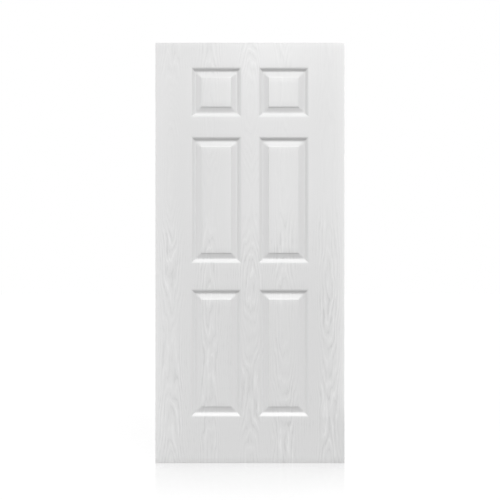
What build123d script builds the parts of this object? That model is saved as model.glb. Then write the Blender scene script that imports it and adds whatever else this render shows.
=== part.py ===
from build123d import *
import math
import os

# Six-panel hollow core interior door, sold as a bare slab: two moulded fibreboard skins glued
# to a slim wood frame, with a lock block behind each edge and expanded paper honeycomb between.
# Frame: X across the door, +Z up, the front face looks along -Y. The origin is the middle of
# the bottom edge. Left and right are as seen from the front. All lengths are in millimetres.

# The slab
door_width = 914.4
door_height = 2032.0
door_thickness = 34.9

# Layout of the face: flat widths between the door's edges and the rims of the panels, the
# height of the lock rail's middle and the height of the two small panels at the top
stile_face = 171.0
mullion_face = 81.0
top_rail_face = 117.0
frieze_rail_face = 93.0
lock_rail_face = 124.0
bottom_rail_face = 221.5
lock_rail_middle = 903.0
top_panel_height = 243.0

# Moulded skin: an ogee drops from the face to a valley, a bevel climbs back towards the middle
# and a small shoulder lifts the raised field almost level with the face
skin_thickness = 3.2
skin_eased_edge = 0.8
ogee_width = 24.0
valley_depth = 9.5
ogee_roll_share = 0.55
bevel_width = 25.5
shoulder_width = 1.2
shoulder_rise = 2.2
shoulder_round = 0.6
field_drop = 0.6
field_margin = 6.0

# Wood frame inside the edges
stile_width = 30.0
top_rail_height = 30.0
bottom_rail_height = 45.0
lock_block_height = 500.0
lock_block_setback = 32.0

# Expanded paper core
core_paper = 0.5
core_cell_width = 55.0
core_cell_height = 58.0
core_flat_share = 0.35
core_clearance = 2.0

# Heights of the panel rims, from the rails above and below them
top_panel_top = door_height - top_rail_face
top_panel_low = top_panel_top - top_panel_height
middle_panel_top = top_panel_low - frieze_rail_face
middle_panel_low = lock_rail_middle + lock_rail_face / 2
bottom_panel_top = lock_rail_middle - lock_rail_face / 2
bottom_panel_low = bottom_rail_face
panel_rows = {
    "top": (top_panel_low, top_panel_top),
    "middle": (middle_panel_low, middle_panel_top),
    "bottom": (bottom_panel_low, bottom_panel_top),
}

# Sides of the panel rims, across the door
panel_width = (door_width - 2 * stile_face - mullion_face) / 2
panel_columns = {
    "left": (-mullion_face / 2 - panel_width, -mullion_face / 2),
    "right": (mullion_face / 2, mullion_face / 2 + panel_width),
}

# Depths, measured from the middle of the slab
face_depth = door_thickness / 2
frame_thickness = door_thickness - 2 * skin_thickness
moulding_width = ogee_width + bevel_width + shoulder_width
bevel_top_depth = field_drop + shoulder_rise

# The ogee is two tangent arcs that meet at its steepest point
ogee_slope = 2 * math.atan2(valley_depth, ogee_width)
ogee_turn_x = ogee_width * ogee_roll_share
ogee_turn_y = valley_depth * ogee_roll_share

# Inner edges of the frame, and the lock block centred on the lock rail
stile_inner = door_width / 2 - stile_width
frame_low = bottom_rail_height
frame_top = door_height - top_rail_height
lock_block_low = lock_rail_middle - lock_block_height / 2
lock_block_top = lock_rail_middle + lock_block_height / 2
lock_block_width = stile_face - stile_width - lock_block_setback

front_plane = Plane.XZ.offset(face_depth)
frame_plane = Plane.XZ.offset(frame_thickness / 2)

os.makedirs("parts", exist_ok=True)


def save(builder, name):
    builder.part.label = name
    export_step(builder.part, f"parts/{name}.step")


def moulded_panel(left, right, low, top):
    # The skin's section from rim to field, carried round the rim with mitred corners
    middle_x = (left + right) / 2
    middle_z = (low + top) / 2
    section_plane = Plane(origin=(left, -face_depth, middle_z), x_dir=(1, 0, 0), z_dir=(0, 0, 1))
    with BuildPart() as panel:
        with BuildSketch(section_plane):
            with BuildLine():
                TangentArc((0, 0), (ogee_turn_x, ogee_turn_y), tangent=(1, 0))
                TangentArc(
                    (ogee_turn_x, ogee_turn_y),
                    (ogee_width, valley_depth),
                    tangent=(math.cos(ogee_slope), math.sin(ogee_slope)),
                )
                FilletPolyline(
                    (ogee_width, valley_depth),
                    (ogee_width + bevel_width, bevel_top_depth),
                    (moulding_width, field_drop),
                    (moulding_width + field_margin, field_drop),
                    radius=shoulder_round,
                )
                offset(amount=skin_thickness, side=Side.LEFT)
            make_face()
        with BuildLine(front_plane) as rim:
            Polyline(
                (left, middle_z),
                (left, top),
                (right, top),
                (right, low),
                (left, low),
                (left, middle_z),
            )
        sweep(path=rim.wire(), transition=Transition.RIGHT)
        # The flat raised field fills the ring
        field_inset = 2 * (moulding_width + field_margin)
        with BuildSketch(front_plane.offset(-field_drop)):
            with Locations((middle_x, middle_z)):
                Rectangle(right - left - field_inset, top - low - field_inset)
        extrude(amount=-skin_thickness)
    return panel.part


# Front skin: a flat sheet with six moulded panels and an eased outer edge
panels = [
    moulded_panel(left, right, low, top)
    for left, right in panel_columns.values()
    for low, top in panel_rows.values()
]
with BuildPart() as front_skin:
    with BuildSketch(front_plane):
        with Locations((0, door_height / 2)):
            Rectangle(door_width, door_height)
        for left, right in panel_columns.values():
            for low, top in panel_rows.values():
                with Locations(((left + right) / 2, (low + top) / 2)):
                    Rectangle(right - left, top - low, mode=Mode.SUBTRACT)
    extrude(amount=-skin_thickness)
    add(panels)
    fillet(front_skin.faces().sort_by(Axis.Y)[0].outer_wire().edges(), skin_eased_edge)
save(front_skin, "front_skin")

# Rear skin: the same pressing on the other side
with BuildPart() as rear_skin:
    mirror(front_skin.part, about=Plane.XZ)
save(rear_skin, "rear_skin")


def frame_member(name, left, right, low, top):
    # A straight length of wood as thick as the gap between the skins
    with BuildPart() as member:
        with BuildSketch(frame_plane):
            with Locations(((left + right) / 2, (low + top) / 2)):
                Rectangle(right - left, top - low)
        extrude(amount=-frame_thickness)
    save(member, name)


# Stiles run the full height, and the rails and lock blocks butt against them
for side, sign in (("left", -1), ("right", 1)):
    outer, inner = sign * door_width / 2, sign * stile_inner
    block_edge = sign * (stile_inner - lock_block_width)
    frame_member(f"{side}_stile", min(outer, inner), max(outer, inner), 0, door_height)
    frame_member(
        f"{side}_lock_block",
        min(inner, block_edge),
        max(inner, block_edge),
        lock_block_low,
        lock_block_top,
    )
frame_member("top_rail", -stile_inner, stile_inner, frame_top, door_height)
frame_member("bottom_rail", -stile_inner, stile_inner, 0, frame_low)


def honeycomb(name, left, right, low, top, depth):
    # Paper ribbons zigzag across the space, and each is bonded to the next at its flats. The
    # cells stretch to fill the space, with two steps and two ribbons at least, so that some close.
    steps = max(2, round((right - left) / core_cell_width))
    rows = max(2, round((top - low) / core_cell_height))
    step = (right - left) / steps
    rise = (top - low - core_paper) / rows
    half_flat = step * core_flat_share / 2
    with BuildPart() as core:
        with BuildSketch(Plane.XZ.offset(depth / 2)):
            for row in range(rows):
                row_low = low + core_paper / 2 + row * rise
                points = []
                for bond in range(steps + 1):
                    bond_x = left + bond * step
                    bond_z = row_low + rise * ((bond + row) % 2)
                    points.append((max(left, bond_x - half_flat), bond_z))
                    points.append((min(right, bond_x + half_flat), bond_z))
                with BuildLine():
                    Polyline(*points)
                trace(line_width=core_paper)
        extrude(amount=-depth)
    save(core, name)


# Core in the flat borders beside the panels, above and below each lock block
border_inner = door_width / 2 - stile_face + core_clearance
border_gaps = {
    "lower": (frame_low, lock_block_low),
    "upper": (lock_block_top, frame_top),
}
for gap, (low, top) in border_gaps.items():
    honeycomb(f"core_left_{gap}", -stile_inner, -border_inner, low, top, frame_thickness)
    honeycomb(f"core_right_{gap}", border_inner, stile_inner, low, top, frame_thickness)

# Core down the middle, between the two columns of panels
mullion_half = mullion_face / 2 - core_clearance
honeycomb("core_mullion", -mullion_half, mullion_half, frame_low, frame_top, frame_thickness)

# Core behind the rails, between the rows of panels
rail_gaps = {
    "bottom": (frame_low, bottom_panel_low - core_clearance),
    "lock": (bottom_panel_top + core_clearance, middle_panel_low - core_clearance),
    "frieze": (middle_panel_top + core_clearance, top_panel_low - core_clearance),
    "top": (top_panel_top + core_clearance, frame_top),
}
for column, (left, right) in panel_columns.items():
    for gap, (low, top) in rail_gaps.items():
        honeycomb(f"core_{gap}_rail_{column}", left, right, low, top, frame_thickness)

# Thinner pads of core behind the raised fields
pad_inset = moulding_width + skin_thickness + core_clearance
pad_thickness = frame_thickness - 2 * field_drop
for column, (left, right) in panel_columns.items():
    for row, (low, top) in panel_rows.items():
        honeycomb(
            f"core_pad_{row}_{column}",
            left + pad_inset,
            right - pad_inset,
            low + pad_inset,
            top - pad_inset,
            pad_thickness,
        )
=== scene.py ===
import math
import bpy
import numpy as np
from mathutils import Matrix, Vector


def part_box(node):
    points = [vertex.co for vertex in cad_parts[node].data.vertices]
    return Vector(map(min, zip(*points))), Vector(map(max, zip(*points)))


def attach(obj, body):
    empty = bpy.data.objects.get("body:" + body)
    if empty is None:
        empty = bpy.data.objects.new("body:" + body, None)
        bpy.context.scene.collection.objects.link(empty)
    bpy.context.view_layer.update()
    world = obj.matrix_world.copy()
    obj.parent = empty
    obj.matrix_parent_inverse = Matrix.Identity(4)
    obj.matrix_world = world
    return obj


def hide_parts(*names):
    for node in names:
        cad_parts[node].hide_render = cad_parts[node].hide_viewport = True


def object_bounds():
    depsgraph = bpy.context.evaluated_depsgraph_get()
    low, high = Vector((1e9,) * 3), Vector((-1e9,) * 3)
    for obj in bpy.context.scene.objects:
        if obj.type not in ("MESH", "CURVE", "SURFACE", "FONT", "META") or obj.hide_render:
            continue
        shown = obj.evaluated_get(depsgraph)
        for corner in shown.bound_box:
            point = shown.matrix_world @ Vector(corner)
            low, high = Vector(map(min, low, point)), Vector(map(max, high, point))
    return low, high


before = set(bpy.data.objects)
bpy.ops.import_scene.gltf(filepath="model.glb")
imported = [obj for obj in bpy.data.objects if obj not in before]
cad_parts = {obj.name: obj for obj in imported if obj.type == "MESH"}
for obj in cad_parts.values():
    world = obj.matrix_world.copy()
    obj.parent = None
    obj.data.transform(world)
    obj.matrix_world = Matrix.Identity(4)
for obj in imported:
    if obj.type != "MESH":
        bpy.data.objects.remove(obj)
cadLow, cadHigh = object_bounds()        # the CAD box, before anything is added
mm = 0.001
print("frame loaded with", len(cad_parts), "nodes")


# Colours and nodes

def srgb(hexColour):
    # sRGB to linear: a straight line near black, a power of 2.4 above it
    levels = np.array([int(hexColour[i:i + 2], 16) for i in (1, 3, 5)]) / 255
    linear = np.where(levels <= 0.04045, levels / 12.92, ((levels + 0.055) / 1.055) ** 2.4)
    return (*linear.tolist(), 1.0)


def put(tree, kind, inputs, output=0, **settings):
    # Adds one node, sets it, links or fills its inputs, and gives back one of its outputs. A Map
    # Range has its from and to limits on sockets 1 to 4, and a colour Mix has its colours on 6 and 7.
    node = tree.nodes.new("ShaderNode" + kind)
    for name, value in settings.items():
        setattr(node, name, value)
    for socket, value in inputs.items():
        if isinstance(value, bpy.types.NodeSocket):
            tree.links.new(value, node.inputs[socket])
        else:
            node.inputs[socket].default_value = value
    return node.outputs[output] if node.outputs else None


def newMaterial(name):
    # an empty node tree, and the Object coordinates that its patterns read
    material = bpy.data.materials.new(name)
    material.use_nodes = True
    tree = material.node_tree
    tree.nodes.clear()
    return material, tree, put(tree, "TexCoord", {}, "Object")


def ringCount(tree, aside, behind, stray, spacing):
    # growth rings out from the heart: the distance from it, plus a stray, over the spacing
    reach = put(tree, "CombineXYZ", {0: aside, 1: behind})
    radius = put(tree, "VectorMath", {0: reach}, "Value", operation="LENGTH")
    strayed = put(tree, "Math", {0: radius, 1: stray}, operation="ADD")
    return put(tree, "Math", {0: strayed, 1: spacing}, operation="DIVIDE")


# White primer, sprayed on fibreboard that was pressed against an embossed steel plate: a satin
# film, even in colour, over shallow oak figure. The figure's grooves and pores are painted darker
# as painted shade, and its ridges lighter as a painted highlight. Tall pointed arches stand in a
# column down the middle of each board, and fine upright pores run beside them.

skinPrimer = {
    "paint": "#E4E4E4",
    "grooveShade": "#D5D5D5",             # painted shade in the grain's grooves and pores
    "crestHighlight": "#F0F0F0",              # painted highlight on the ridges beside them
    "roughness": 0.38,
    "ior": 1.5,
    "boardWidth": 181 * mm,          # one column of arches across
    "heartFrom": 0.375,              # shares of a board between which its column may stand
    "heartTo": 0.625,
    "columnCore": 26 * mm,           # half the width of the column where its lines are bold
    "columnEdge": 72 * mm,           # and where they have faded
    "columnShare": 0.15,             # what is left of them beyond
    "pithNear": 18 * mm,             # depth of the tree's heart behind the face
    "pithFar": 95 * mm,
    "pithRun": 800 * mm,             # height over which it swings from near to far
    "pithShift": 50.0,               # sets the swing of one board apart from the next
    "swingLow": 0.25,                # noise levels at which it is near and far
    "swingHigh": 0.75,
    "ringSpacing": 8.5 * mm,
    "ringDepth": 0.10 * mm,
    "ringPower": 3.0,                # how narrow a growth line is
    "stray": 26 * mm,                # how far a growth line wanders
    "straySize": (36 * mm, 1.0, 190 * mm),
    "breakSize": (9 * mm, 1.0, 75 * mm),          # lengths over which it fades in and out
    "breakFaint": 0.36,              # noise levels at which it is faint and whole
    "breakWhole": 0.62,
    "breakShare": 0.1,
    "patchSize": (120 * mm, 1.0, 420 * mm),       # worn and bold places on the plate
    "patchWorn": 0.38,
    "patchBold": 0.62,
    "patchShare": 0.25,
    "boldBelow": 920 * mm,           # heights between which the figure grows faint
    "faintFrom": 1320 * mm,
    "faintTo": 1760 * mm,            # and between which it comes back
    "clearAbove": 1930 * mm,
    "faintShare": 0.22,
    "clearShare": 0.7,
    "slopeFacing": 0.955,            # how squarely the slopes of the mouldings face outwards
    "flatFacing": 0.995,
    "slopeShare": 0.2,               # what is left of the figure on them
    "poreSize": (2.0 * mm, 1.0, 42 * mm),         # real ones are under 1 mm wide: coarser, to show
    "poreStart": 0.55,               # noise levels at which a pore starts and is full
    "poreFull": 0.64,
    "poreDepth": 0.12 * mm,
    "poreShade": 0.45,                # how dark the painted shade in a pore is, beside a growth line
    "sparseOver": 0.7,               # how far up a ridge pores are sparse: they crowd as far down a groove
    "sparseShare": 0.25,
}


def primedSkin(look):
    material, tree, where = newMaterial("white primer on embossed fibreboard")
    x, y, z = put(tree, "SeparateXYZ", {0: where}).node.outputs
    # both skins come off one plate, so the rear one shows the same figure turned about
    rear = put(tree, "Math", {0: y, 1: 0.0}, operation="GREATER_THAN")
    turned = put(tree, "Math", {0: rear, 1: -2.0, 2: 1.0}, operation="MULTIPLY_ADD")
    across = put(tree, "Math", {0: x, 1: turned}, operation="MULTIPLY")
    onFace = put(tree, "CombineXYZ", {0: across, 2: z})

    # the face is laid out in boards, one of them down the middle, each with its own heart line
    boards = put(tree, "Math", {0: across, 1: 1 / look["boardWidth"], 2: 0.5}, operation="MULTIPLY_ADD")
    board = put(tree, "Math", {0: boards}, operation="FLOOR")
    within = put(tree, "Math", {0: boards}, operation="FRACT")
    lean = put(tree, "TexWhiteNoise", {"W": board}, "Value", noise_dimensions="1D")
    heart = put(tree, "MapRange", {"Value": lean, 3: look["heartFrom"], 4: look["heartTo"]})
    offset = put(tree, "Math", {0: within, 1: heart}, operation="SUBTRACT")
    aside = put(tree, "Math", {0: offset, 1: look["boardWidth"]}, operation="MULTIPLY")

    # the heart swings slowly towards the face and away, which closes the growth lines into arches
    shift = put(tree, "Math", {0: lean, 1: look["pithShift"]}, operation="MULTIPLY")
    climb = put(tree, "Math", {0: z, 1: 1 / look["pithRun"], 2: shift}, operation="MULTIPLY_ADD")
    swing = put(tree, "TexNoise", {"W": climb, "Scale": 1.0, "Detail": 0.0}, "Fac", noise_dimensions="1D")
    behind = put(tree, "MapRange", {"Value": swing, 1: look["swingLow"], 2: look["swingHigh"],
                                    3: look["pithNear"], 4: look["pithFar"]})
    strayAt = put(tree, "VectorMath", {0: onFace, 1: look["straySize"]}, operation="DIVIDE")
    wander = put(tree, "TexNoise", {"Vector": strayAt, "Scale": 1.0, "Detail": 3.0}, "Fac")
    stray = put(tree, "Math", {0: wander, 1: look["stray"]}, operation="MULTIPLY")
    rings = ringCount(tree, aside, behind, stray, look["ringSpacing"])

    # each ring is one narrow groove and one narrow ridge: an odd power of a sine
    phase = put(tree, "Math", {0: rings, 1: 2 * math.pi}, operation="MULTIPLY")
    wave = put(tree, "Math", {0: phase}, operation="SINE")
    line = put(tree, "Math", {0: wave, 1: look["ringPower"]}, operation="POWER")

    # the plate was bold in some places and worn faint in others
    patchAt = put(tree, "VectorMath", {0: onFace, 1: look["patchSize"]}, operation="DIVIDE")
    patch = put(tree, "TexNoise", {"Vector": patchAt, "Scale": 1.0, "Detail": 2.0}, "Fac")
    worn = put(tree, "MapRange", {"Value": patch, 1: look["patchWorn"], 2: look["patchBold"],
                                  3: look["patchShare"], 4: 1.0})
    # it is deepest below the lock rail, shallow above it, and clear again along the top
    low = put(tree, "MapRange", {"Value": z, 1: look["boldBelow"], 2: look["faintFrom"],
                                 3: 1.0, 4: look["faintShare"]}, interpolation_type="SMOOTHSTEP")
    high = put(tree, "MapRange", {"Value": z, 1: look["faintTo"], 2: look["clearAbove"],
                                  3: 0.0, 4: look["clearShare"]}, interpolation_type="SMOOTHSTEP")
    level = put(tree, "Math", {0: low, 1: high}, operation="MAXIMUM")
    # and only the flats were cut with it: on the mouldings' slopes it fades
    normal = put(tree, "TexCoord", {}, "Normal")
    facing = put(tree, "Math", {0: put(tree, "SeparateXYZ", {0: normal}, "Y")}, operation="ABSOLUTE")
    flat = put(tree, "MapRange", {"Value": facing, 1: look["slopeFacing"], 2: look["flatFacing"],
                                  3: look["slopeShare"], 4: 1.0})
    cut = put(tree, "Math", {0: worn, 1: level}, operation="MULTIPLY")
    boldness = put(tree, "Math", {0: cut, 1: flat}, operation="MULTIPLY")

    # growth lines fade in and out along their length, and away from the column
    breakAt = put(tree, "VectorMath", {0: onFace, 1: look["breakSize"]}, operation="DIVIDE")
    breaks = put(tree, "TexNoise", {"Vector": breakAt, "Scale": 1.0, "Detail": 1.0}, "Fac")
    whole = put(tree, "MapRange", {"Value": breaks, 1: look["breakFaint"], 2: look["breakWhole"],
                                   3: look["breakShare"], 4: 1.0})
    fromHeart = put(tree, "Math", {0: aside}, operation="ABSOLUTE")
    column = put(tree, "MapRange", {"Value": fromHeart, 1: look["columnCore"], 2: look["columnEdge"],
                                    3: 1.0, 4: look["columnShare"]}, interpolation_type="SMOOTHSTEP")
    inColumn = put(tree, "Math", {0: boldness, 1: column}, operation="MULTIPLY")
    bold = put(tree, "Math", {0: inColumn, 1: whole}, operation="MULTIPLY")
    growth = put(tree, "Math", {0: line, 1: bold}, operation="MULTIPLY")

    # pores are short upright ticks, crowded along the grooves and sparse between them
    poreAt = put(tree, "VectorMath", {0: onFace, 1: look["poreSize"]}, operation="DIVIDE")
    specks = put(tree, "TexNoise", {"Vector": poreAt, "Scale": 1.0, "Detail": 1.0}, "Fac")
    ticks = put(tree, "MapRange", {"Value": specks, 1: look["poreStart"], 2: look["poreFull"]},
                interpolation_type="SMOOTHSTEP")
    crowd = put(tree, "MapRange", {"Value": wave, 1: look["sparseOver"], 2: -look["sparseOver"],
                                   3: look["sparseShare"], 4: 1.0})
    crowding = put(tree, "Math", {0: crowd, 1: boldness}, operation="MULTIPLY")
    pores = put(tree, "Math", {0: ticks, 1: crowding}, operation="MULTIPLY")

    lines = put(tree, "Math", {0: growth, 1: look["ringDepth"] / 2}, operation="MULTIPLY")
    height = put(tree, "Math", {0: pores, 1: -look["poreDepth"], 2: lines}, operation="MULTIPLY_ADD")
    emboss = put(tree, "Bump", {"Height": height, "Distance": 1.0})
    # the tone is painted light: painted shade in the grooves and pores, and a painted highlight on the
    # ridges between
    shadeAndHighlight = put(tree, "Math", {0: pores, 1: -look["poreShade"], 2: growth}, operation="MULTIPLY_ADD")
    grooveShadeShare = put(tree, "MapRange", {"Value": shadeAndHighlight, 1: 0.0, 2: -1.0})
    crestHighlightShare = put(tree, "MapRange", {"Value": shadeAndHighlight, 1: 0.0, 2: 1.0})
    groovesShaded = put(tree, "Mix", {"Factor": grooveShadeShare, 6: srgb(look["paint"]), 7: srgb(look["grooveShade"])}, 2,
                 data_type="RGBA")
    colour = put(tree, "Mix", {"Factor": crestHighlightShare, 6: groovesShaded, 7: srgb(look["crestHighlight"])}, 2, data_type="RGBA")
    shader = put(tree, "BsdfPrincipled", {"Base Color": colour, "Roughness": look["roughness"],
                                          "IOR": look["ior"], "Normal": emboss})
    put(tree, "OutputMaterial", {"Surface": shader})
    return material


# Pine, sawn and planed along its grain: pale early wood that darkens to a thin honey line at the
# end of each ring, fine fibres between, and a dull shine.

planedPine = {
    "early": "#D9C09A",
    "late": "#B49068",
    "fibre": "#C6AA82",
    "roughness": 0.55,
    "heartAside": 70 * mm,           # the tree's heart, from the middle of the door
    "heartBehind": -55 * mm,
    "ringSpacing": 4.5 * mm,
    "darkFrom": 0.3,                 # shares of a ring between which it darkens
    "darkTo": 0.9,
    "darkEnd": 0.93,                 # and after which it pales again
    "stray": 7 * mm,
    "straySize": (40 * mm, 40 * mm, 420 * mm),
    "fibreSize": (0.9 * mm, 0.9 * mm, 30 * mm),
    "fibreStart": 0.42,              # noise levels at which a fibre starts and is full
    "fibreFull": 0.7,
    "fibreDepth": 0.04 * mm,
}
sawnPine = {**planedPine, "early": "#CFB48A", "late": "#A88458", "roughness": 0.75, "fibreDepth": 0.18 * mm}

# The stiles' outer edges: the same planed pine under one coat of white primer, which leaves the
# growth lines just readable as a shallow ripple.

primedPine = {**planedPine, "early": "#E4E4E3", "late": "#DADAD8", "fibre": "#DFDFDD", "roughness": 0.5,
              "fibreDepth": 0.06 * mm}


def pineWood(name, look, along):
    material, tree, where = newMaterial(name)
    axes = put(tree, "SeparateXYZ", {0: where}).node.outputs
    # turned so that the third axis runs along the grain
    order = {"Z": (0, 1, 2), "X": (2, 1, 0)}[along]
    across, through, length = (axes[i] for i in order)
    grain = put(tree, "CombineXYZ", {0: across, 1: through, 2: length})
    aside = put(tree, "Math", {0: across, 1: look["heartAside"]}, operation="SUBTRACT")
    behind = put(tree, "Math", {0: through, 1: look["heartBehind"]}, operation="SUBTRACT")
    strayAt = put(tree, "VectorMath", {0: grain, 1: look["straySize"]}, operation="DIVIDE")
    wander = put(tree, "TexNoise", {"Vector": strayAt, "Scale": 1.0, "Detail": 2.0}, "Fac")
    stray = put(tree, "Math", {0: wander, 1: look["stray"]}, operation="MULTIPLY")
    rings = ringCount(tree, aside, behind, stray, look["ringSpacing"])
    phase = put(tree, "Math", {0: rings}, operation="FRACT")
    darkens = put(tree, "MapRange", {"Value": phase, 1: look["darkFrom"], 2: look["darkTo"]},
                  interpolation_type="SMOOTHSTEP")
    closes = put(tree, "MapRange", {"Value": phase, 1: look["darkEnd"], 2: 1.0, 3: 1.0, 4: 0.0})
    ring = put(tree, "Math", {0: darkens, 1: closes}, operation="MULTIPLY")
    fibreAt = put(tree, "VectorMath", {0: grain, 1: look["fibreSize"]}, operation="DIVIDE")
    fibre = put(tree, "TexNoise", {"Vector": fibreAt, "Scale": 1.0, "Detail": 2.0}, "Fac")
    streak = put(tree, "MapRange", {"Value": fibre, 1: look["fibreStart"], 2: look["fibreFull"]})
    ringed = put(tree, "Mix", {"Factor": ring, 6: srgb(look["early"]), 7: srgb(look["late"])}, 2,
                 data_type="RGBA")
    wood = put(tree, "Mix", {"Factor": streak, 6: ringed, 7: srgb(look["fibre"])}, 2, data_type="RGBA")
    ripple = put(tree, "Math", {0: ring, 1: streak}, operation="SUBTRACT")
    height = put(tree, "Math", {0: ripple, 1: look["fibreDepth"]}, operation="MULTIPLY")
    rough = put(tree, "Bump", {"Height": height, "Distance": 1.0})
    shader = put(tree, "BsdfPrincipled", {"Base Color": wood, "Roughness": look["roughness"],
                                          "Normal": rough})
    put(tree, "OutputMaterial", {"Surface": shader})
    return material


# Two papery sheets show the same build at different scales: matted fibres, lighter and darker.
# Hardboard is brown fibre pressed hard, dark and slightly furry where it is sawn. Kraft paper is
# thinner and paler, with longer flecks.

sawnHardboard = {
    "base": "#7C5C3F",
    "fleck": "#A27E58",
    "roughness": 0.8,
    "fibreSize": (2.6 * mm, 0.7 * mm, 2.6 * mm),
    "fibreCurl": 0.6,
    "fleckStart": 0.45,              # noise levels at which a fleck starts and is full
    "fleckFull": 0.68,
    "cloudSize": 24 * mm,
    "fibreDepth": 0.12 * mm,
}
kraftPaper = {**sawnHardboard, "base": "#A98558", "fleck": "#C4A274", "roughness": 0.85,
              "fibreSize": (5.0 * mm, 1.4 * mm, 1.4 * mm), "cloudSize": 40 * mm, "fibreDepth": 0.05 * mm}


def mattedFibre(name, look):
    material, tree, where = newMaterial(name)
    fibreAt = put(tree, "VectorMath", {0: where, 1: look["fibreSize"]}, operation="DIVIDE")
    fibre = put(tree, "TexNoise", {"Vector": fibreAt, "Scale": 1.0, "Detail": 3.0,
                                   "Distortion": look["fibreCurl"]}, "Fac")
    flecks = put(tree, "MapRange", {"Value": fibre, 1: look["fleckStart"], 2: look["fleckFull"]},
                 interpolation_type="SMOOTHSTEP")
    cloud = put(tree, "TexNoise", {"Vector": where, "Scale": 1 / look["cloudSize"], "Detail": 2.0}, "Fac")
    share = put(tree, "Math", {0: flecks, 1: cloud}, operation="MULTIPLY")
    colour = put(tree, "Mix", {"Factor": share, 6: srgb(look["base"]), 7: srgb(look["fleck"])}, 2,
                 data_type="RGBA")
    height = put(tree, "Math", {0: flecks, 1: look["fibreDepth"]}, operation="MULTIPLY")
    furry = put(tree, "Bump", {"Height": height, "Distance": 1.0})
    shader = put(tree, "BsdfPrincipled", {"Base Color": colour, "Roughness": look["roughness"],
                                          "Normal": furry})
    put(tree, "OutputMaterial", {"Surface": shader})
    return material


primer = primedSkin(skinPrimer)
primedEdge = pineWood("white primer on planed pine", primedPine, "Z")
uprightPine = pineWood("planed pine, upright", planedPine, "Z")
levelPine = pineWood("planed pine, level", planedPine, "X")
blockPine = pineWood("sawn pine, upright", sawnPine, "Z")
hardboard = mattedFibre("sawn hardboard", sawnHardboard)
kraft = mattedFibre("kraft paper", kraftPaper)
print("materials made")


# Moulded skins

skin = {                             # millimetres, as in the CAD model
    "stileFace": 171.0,
    "mullionFace": 81.0,
    "topRailFace": 117.0,
    "friezeRailFace": 93.0,
    "lockRailFace": 124.0,
    "bottomRailFace": 221.5,
    "lockRailMiddle": 903.0,
    "topPanelHeight": 243.0,
    "thickness": 3.2,
    "easedEdge": 0.8,
    "ogeeWidth": 24.0,
    "valleyDepth": 9.5,
    "ogeeRollShare": 0.55,
    "bevelWidth": 25.5,
    "shoulderWidth": 1.2,
    "shoulderRise": 2.2,
    "shoulderRound": 0.6,
    "fieldDrop": 0.6,
    "arcSteps": 9,                   # mesh cells on each arc of the ogee
    "roundSteps": 4,                 # and on the bevel and each round of the shoulder
    "easeSteps": 4,                  # and on the eased edge
    "flatStep": 30.0,                # widest mesh cell on the flats
    "sharpAngle": 50.0,              # degrees past which an edge is shaded sharp
}


def roundedCorner(before, corner, after, radius, steps):
    # a short curve that leaves each leg at radius times the tangent of half the turn
    legs = [(end - corner) / np.linalg.norm(end - corner) for end in (before, after)]
    turn = math.pi - math.acos(float(legs[0] @ legs[1]))
    reach = radius * math.tan(turn / 2)
    t = np.linspace(0, 1, steps + 1)[:, None]
    start, end = corner + reach * legs[0], corner + reach * legs[1]
    return (1 - t) ** 2 * start + 2 * t * (1 - t) * corner + t ** 2 * end


def mouldingSection(sizes):
    # depth against distance from the rim: two tangent arcs, the bevel, and a rounded shoulder
    width, depth, share = sizes["ogeeWidth"], sizes["valleyDepth"], sizes["ogeeRollShare"]
    radiusSum = (width ** 2 + depth ** 2) / (2 * depth)
    slope = 2 * math.atan2(depth, width)
    turn = np.linspace(0, slope, sizes["arcSteps"] + 1)
    arc = np.stack([np.sin(turn), 1 - np.cos(turn)], 1)
    valley = np.array([width, depth])
    roll = share * radiusSum * arc
    cove = valley - (1 - share) * radiusSum * arc
    foot = valley + [sizes["bevelWidth"], sizes["fieldDrop"] + sizes["shoulderRise"] - depth]
    brow = foot + [sizes["shoulderWidth"], -sizes["shoulderRise"]]
    field = brow + [sizes["easedEdge"], 0]
    bevel = valley + np.linspace(0, 1, sizes["roundSteps"])[1:-1, None] * (foot - valley)
    return np.concatenate([
        roll, cove[-2::-1], bevel,
        roundedCorner(valley, foot, brow, sizes["shoulderRound"], sizes["roundSteps"]),
        roundedCorner(foot, brow, field, sizes["shoulderRound"], sizes["roundSteps"]),
    ])


def gridLines(keys, widest):
    # the key lines in order, with even ones between where they lie far apart
    keys = np.unique(np.round(np.concatenate([np.ravel(key) for key in keys]), 4))
    counts = np.ceil(np.diff(keys) / widest).astype(int)
    spans = [np.linspace(a, b, n, endpoint=False) for a, b, n in zip(keys[:-1], keys[1:], counts)]
    return np.concatenate(spans + [keys[-1:]])


def insideBy(lines, panels):
    # how far each line lies inside the panel that holds it, and below 0 outside them all
    return np.minimum(lines - panels[:, :1], panels[:, 1:] - lines).max(0)


def pastMiddle(lines, panels):
    # whether each cell between two lines lies past the middle of the nearest panel
    cells = (lines[:-1] + lines[1:]) / 2
    middles = panels.mean(1)
    return cells > middles[np.abs(cells[:, None] - middles).argmin(1)]


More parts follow.
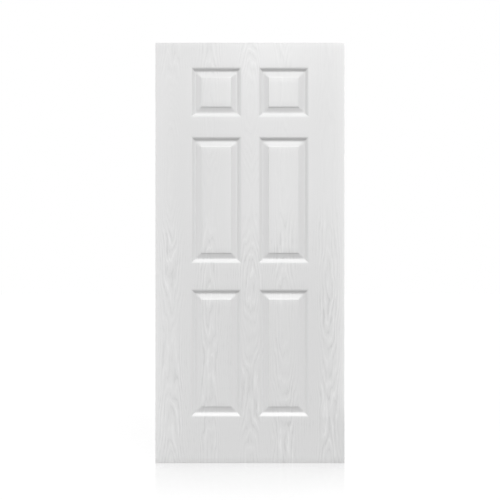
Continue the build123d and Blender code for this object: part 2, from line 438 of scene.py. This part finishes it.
def mouldedSkin(name, node, sign):
    # A grid over the door's width and height. Depth is the section's depth at the distance that
    # a point lies inside the nearest panel's rim, so the mouldings meet in mitres by themselves.
    low, high = (np.array(corner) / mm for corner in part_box(node))
    faceY = high[1] if sign > 0 else low[1]
    sectionU, sectionDepth = mouldingSection(skin).T
    sectionSlope = np.gradient(sectionDepth, sectionU)

    columnInner, columnOuter = skin["mullionFace"] / 2, high[0] - skin["stileFace"]
    columns = np.array([[-columnOuter, -columnInner], [columnInner, columnOuter]])
    topPanelTop = high[2] - skin["topRailFace"]
    topPanelLow = topPanelTop - skin["topPanelHeight"]
    rows = np.array([
        [skin["bottomRailFace"], skin["lockRailMiddle"] - skin["lockRailFace"] / 2],
        [skin["lockRailMiddle"] + skin["lockRailFace"] / 2, topPanelLow - skin["friezeRailFace"]],
        [topPanelLow, topPanelTop],
    ])
    eased = skin["easedEdge"]
    ease = eased * (1 - np.cos(np.linspace(0, math.pi / 2, skin["easeSteps"] + 1)))
    xs = gridLines([low[0] + ease, high[0] - ease, columns[:, :1] + sectionU, columns[:, 1:] - sectionU],
                   skin["flatStep"])
    zs = gridLines([low[2] + ease, high[2] - ease, rows[:, :1] + sectionU, rows[:, 1:] - sectionU],
                   skin["flatStep"])
    gridX, gridZ = np.meshgrid(xs, zs, indexing="ij")

    inside = np.minimum(insideBy(xs, columns)[:, None], insideBy(zs, rows)[None, :]).clip(0)
    depth = np.interp(inside, sectionU, sectionDepth)
    slope = np.interp(inside, sectionU, sectionSlope) * (inside > 0)
    # the outer edge is a quarter round
    fromSide = np.minimum(gridX - low[0], high[0] - gridX)
    fromEnd = np.minimum(gridZ - low[2], high[2] - gridZ)
    easedBy = eased - np.minimum(fromSide, fromEnd).clip(0, eased)
    easing = eased - np.sqrt(eased ** 2 - easedBy ** 2)
    # the back follows the face at an even thickness, measured square to the slope
    outerY = faceY - sign * (depth + easing)
    innerY = faceY - sign * (depth + skin["thickness"] * np.sqrt(1 + slope ** 2))
    points = np.concatenate([np.stack([gridX, y, gridZ], -1).reshape(-1, 3) for y in (outerY, innerY)])

    # two triangles to a cell, cut along the mitre: the corner's own diagonal
    index = np.arange(gridX.size).reshape(gridX.shape)
    a, b, c, d = index[:-1, :-1], index[1:, :-1], index[1:, 1:], index[:-1, 1:]
    rising = (pastMiddle(xs, columns)[:, None] == pastMiddle(zs, rows)[None, :])[..., None]
    first = np.where(rising, np.stack([a, b, c], -1), np.stack([a, b, d], -1)).reshape(-1, 3)
    second = np.where(rising, np.stack([a, c, d], -1), np.stack([b, c, d], -1)).reshape(-1, 3)
    face = np.concatenate([first, second])
    back = face[:, ::-1] + index.size
    # walls join the two surfaces round the door's edge: bottom, top, left and right
    walls = []
    for near in (index[::-1, 0], index[:, -1], index[0, :], index[-1, ::-1]):
        far = near + index.size
        walls.append(np.concatenate([np.stack([near[:-1], near[1:], far[1:]], -1),
                                     np.stack([near[:-1], far[1:], far[:-1]], -1)]))
    faces = np.concatenate([face, back] + walls)
    if sign > 0:
        faces = faces[:, ::-1]

    # the face is primed, the long edges too, and the back and the ends are bare
    finishes = (primer, primedEdge, hardboard)
    bare = finishes.index(hardboard)
    wallFinishes = (bare, bare, finishes.index(primedEdge), finishes.index(primedEdge))
    finish = np.concatenate([np.full(len(face), finishes.index(primer)), np.full(len(back), bare)]
                            + [np.full(len(wall), number) for wall, number in zip(walls, wallFinishes)])

    mesh = bpy.data.meshes.new(name)
    mesh.from_pydata(points * mm, [], faces)
    for material in finishes:
        mesh.materials.append(material)
    mesh.polygons.foreach_set("material_index", finish.astype(np.int32))
    mesh.polygons.foreach_set("use_smooth", np.ones(len(faces), bool))
    mesh.set_sharp_from_angle(angle=math.radians(skin["sharpAngle"]))
    mesh.update()
    piece = bpy.data.objects.new(name, mesh)
    bpy.context.scene.collection.objects.link(piece)
    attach(piece, "root")
    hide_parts(node)
    print(name, "has", len(faces), "triangles")


mouldedSkin("moulded_front_skin", "front_skin", -1)
mouldedSkin("moulded_rear_skin", "rear_skin", 1)


# Wood and paper that stay as the CAD made them

woods = {"_stile": uprightPine, "_rail": levelPine, "_lock_block": blockPine}
squareOn = 0.9                       # least share of a normal across the door on an outer edge

for name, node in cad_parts.items():
    if name.endswith("_skin"):
        continue
    node.data.materials.clear()
    if name.startswith("core_"):
        node.data.materials.append(kraft)
        continue
    node.data.materials.append(next(wood for ending, wood in woods.items() if name.endswith(ending)))
    if name.endswith("_stile"):
        # the outer edge was primed with the faces
        node.data.materials.append(primedEdge)
        normals = np.zeros(len(node.data.polygons) * 3, np.float32)
        node.data.polygons.foreach_get("normal", normals)
        outward = 1 if name.startswith("right") else -1
        primed = normals.reshape(-1, 3)[:, 0] * outward > squareOn
        node.data.polygons.foreach_set("material_index", primed.astype(np.int32))
print("frame and core dressed")


# Floor, lights and camera

stage = {
    "white": "#FFFFFF",
    "floorReach": 12.0,              # metres each way
    "floorBelow": 0.15 * mm,
    "floorShade": "#7A7A7A",         # how strongly light and shadow show on it
    "floorGlow": 0.775,              # added for the camera, so that open floor is white
    "floorBounce": 0.20,             # what lights the door from below
    "sheen": 0.44,                   # mirror share at the door's foot
    "sheenReach": 0.52,              # metres from the door where it has faded away
    "sheenRoughness": 0.06,
    "skyLight": 0.77,
    "keySpread": 24,                 # degrees
    "sheenAim": (0.0, 0.0, 1.5),     # what the soft boxes in the gloss look at
}


def seenRay(tree):
    # 1 where a ray shows the surface to the camera, straight or through gloss or glass
    rays = put(tree, "LightPath", {}).node.outputs
    seen = put(tree, "Math", {0: rays["Is Camera Ray"], 1: rays["Is Glossy Ray"]}, operation="MAXIMUM")
    return put(tree, "Math", {0: seen, 1: rays["Is Transmission Ray"]}, operation="MAXIMUM")


def paleFloor(look):
    material, tree, where = newMaterial("pale polished floor")
    shade = put(tree, "BsdfDiffuse", {"Color": srgb(look["floorShade"])})
    glow = put(tree, "Emission", {"Strength": look["floorGlow"]})
    matt = put(tree, "AddShader", {0: shade, 1: glow})
    mirror = put(tree, "BsdfGlossy", {"Color": srgb(look["white"]), "Roughness": look["sheenRoughness"]})
    away = put(tree, "Math", {0: put(tree, "SeparateXYZ", {0: where}, "Y")}, operation="ABSOLUTE")
    fade = put(tree, "MapRange", {"Value": away, 1: 0.0, 2: look["sheenReach"], 3: look["sheen"], 4: 0.0})
    shown = put(tree, "MixShader", {0: fade, 1: matt, 2: mirror})
    bounce = put(tree, "Emission", {"Strength": look["floorBounce"]})
    floor = put(tree, "MixShader", {0: seenRay(tree), 1: bounce, 2: shown})
    put(tree, "OutputMaterial", {"Surface": floor})
    return material


def makeFloor(look):
    corners = np.array([[-1, -1], [1, -1], [1, 1], [-1, 1]]) * look["floorReach"]
    level = np.full(len(corners), -look["floorBelow"])
    mesh = bpy.data.meshes.new("floor")
    mesh.from_pydata(np.column_stack([corners, level]), [], [(0, 1, 2, 3)])
    mesh.materials.append(paleFloor(look))
    floor = bpy.data.objects.new("floor", mesh)
    bpy.context.scene.collection.objects.link(floor)


def makeSky(look):
    # white to the camera and in reflections, softer as light
    world = bpy.data.worlds.new("white studio")
    world.use_nodes = True
    tree = world.node_tree
    tree.nodes.clear()
    light = put(tree, "Background", {"Color": srgb(look["white"]), "Strength": look["skyLight"]})
    seen = put(tree, "Background", {"Color": srgb(look["white"]), "Strength": 1.0})
    sky = put(tree, "MixShader", {0: seenRay(tree), 1: light, 2: seen})
    put(tree, "OutputWorld", {"Surface": sky})
    bpy.context.scene.world = world


# Broad lights from above, two to each side in front and two behind: degrees of elevation and bearing
keys = {
    "rightKey": {"elevation": 50, "bearing": 30, "strength": 0.717},
    "leftKey": {"elevation": 50, "bearing": -30, "strength": 0.265},
    "rightWash": {"elevation": 35, "bearing": 60, "strength": 0.398},
    "leftWash": {"elevation": 35, "bearing": -60, "strength": 0.414},
    "rearKey": {"elevation": 50, "bearing": 150, "strength": 0.5},
    "rearWash": {"elevation": 40, "bearing": -140, "strength": 0.3},
}

# Soft boxes that show only in the gloss: metres and watts
sheenBoxes = {
    "highSheen": {"at": (0.3, -3.2, 3.2), "size": (0.4, 0.4), "power": 28.4},
    "leftSheen": {"at": (-0.2, -3.2, 2.95), "size": (1.0, 1.0), "power": 13.7},
    "midSheen": {"at": (0.5, -3.2, 1.7), "size": (0.8, 0.8), "power": 10.6},
    "lowSheen": {"at": (0.1, -3.2, 1.3), "size": (0.8, 0.8), "power": 8.4},
}

# Soft boxes that light only the matt colour
fillBoxes = {
    "topCorner": {"at": (0.9, -0.6, 2.6), "aim": (0.45, 0.0, 1.6), "size": (0.6, 0.6), "power": 1.08},
    "leftEdge": {"at": (-0.62, -0.1, 1.05), "aim": (-0.4, 0.0, 1.05), "size": (0.06, 2.2), "power": 0.69},
    "rightEdge": {"at": (0.5, -0.04, 1.2), "aim": (0.44, 0.0, 1.2), "size": (0.03, 1.9), "power": 0.20},
    "foot": {"at": (0.0, -1.2, 0.12), "aim": (0.0, 0.0, 0.12), "size": (1.2, 0.12), "power": 1.17},
}


def hang(holder, away):
    # a lamp shines along its own -Z, so its Z points away from what it lights
    holder.rotation_mode = "QUATERNION"
    holder.rotation_quaternion = away.to_track_quat("Z", "Y")
    bpy.context.scene.collection.objects.link(holder)


def makeKey(name, look, spread):
    up, aside = math.radians(look["elevation"]), math.radians(look["bearing"])
    lamp = bpy.data.lights.new(name, "SUN")
    lamp.energy = look["strength"]
    lamp.angle = math.radians(spread)
    away = Vector((math.cos(up) * math.sin(aside), -math.cos(up) * math.cos(aside), math.sin(up)))
    hang(bpy.data.objects.new(name, lamp), away)


def makeSoftBox(name, look, aim, inGloss):
    lamp = bpy.data.lights.new(name, "AREA")
    lamp.shape = "RECTANGLE"
    lamp.size, lamp.size_y = look["size"]
    lamp.energy = look["power"]
    holder = bpy.data.objects.new(name, lamp)
    holder.location = look["at"]
    holder.visible_camera = False
    holder.visible_glossy = inGloss
    holder.visible_diffuse = not inGloss
    hang(holder, Vector(look["at"]) - Vector(aim))


camera = {
    "imageSize": 500,                # pixels each way
    "doorLeft": 155.47,              # the door's edges in the picture, in pixels
    "doorRight": 344.39,
    "doorTop": 42.7,
    "doorBottom": 463.0,
    "distance": 3.2,                 # metres from the front face
    "sensor": 36.0,                  # millimetres
}


def makeCamera(look):
    # scale from the door's height in pixels, then the camera faces the middle of the picture
    scale = (cadHigh.z - cadLow.z) / (look["doorBottom"] - look["doorTop"])
    half = look["imageSize"] / 2
    aimX = (half - (look["doorLeft"] + look["doorRight"]) / 2) * scale
    aimZ = cadLow.z + (look["doorBottom"] - half) * scale
    lens = bpy.data.cameras.new("camera")
    lens.sensor_width = look["sensor"]
    lens.lens = look["sensor"] * look["distance"] / (look["imageSize"] * scale)
    viewer = bpy.data.objects.new("camera", lens)
    viewer.location = (aimX, cadLow.y - look["distance"], aimZ)
    viewer.rotation_euler = (math.radians(90), 0, 0)
    bpy.context.scene.collection.objects.link(viewer)
    bpy.context.scene.camera = viewer


makeFloor(stage)
makeSky(stage)
for keyName, keyLook in keys.items():
    makeKey(keyName, keyLook, stage["keySpread"])
for boxName, boxLook in sheenBoxes.items():
    makeSoftBox(boxName, boxLook, stage["sheenAim"], True)
for boxName, boxLook in fillBoxes.items():
    makeSoftBox(boxName, boxLook, boxLook["aim"], False)
makeCamera(camera)
bpy.context.scene.view_settings.view_transform = "Standard"
print("floor, lights and camera placed")
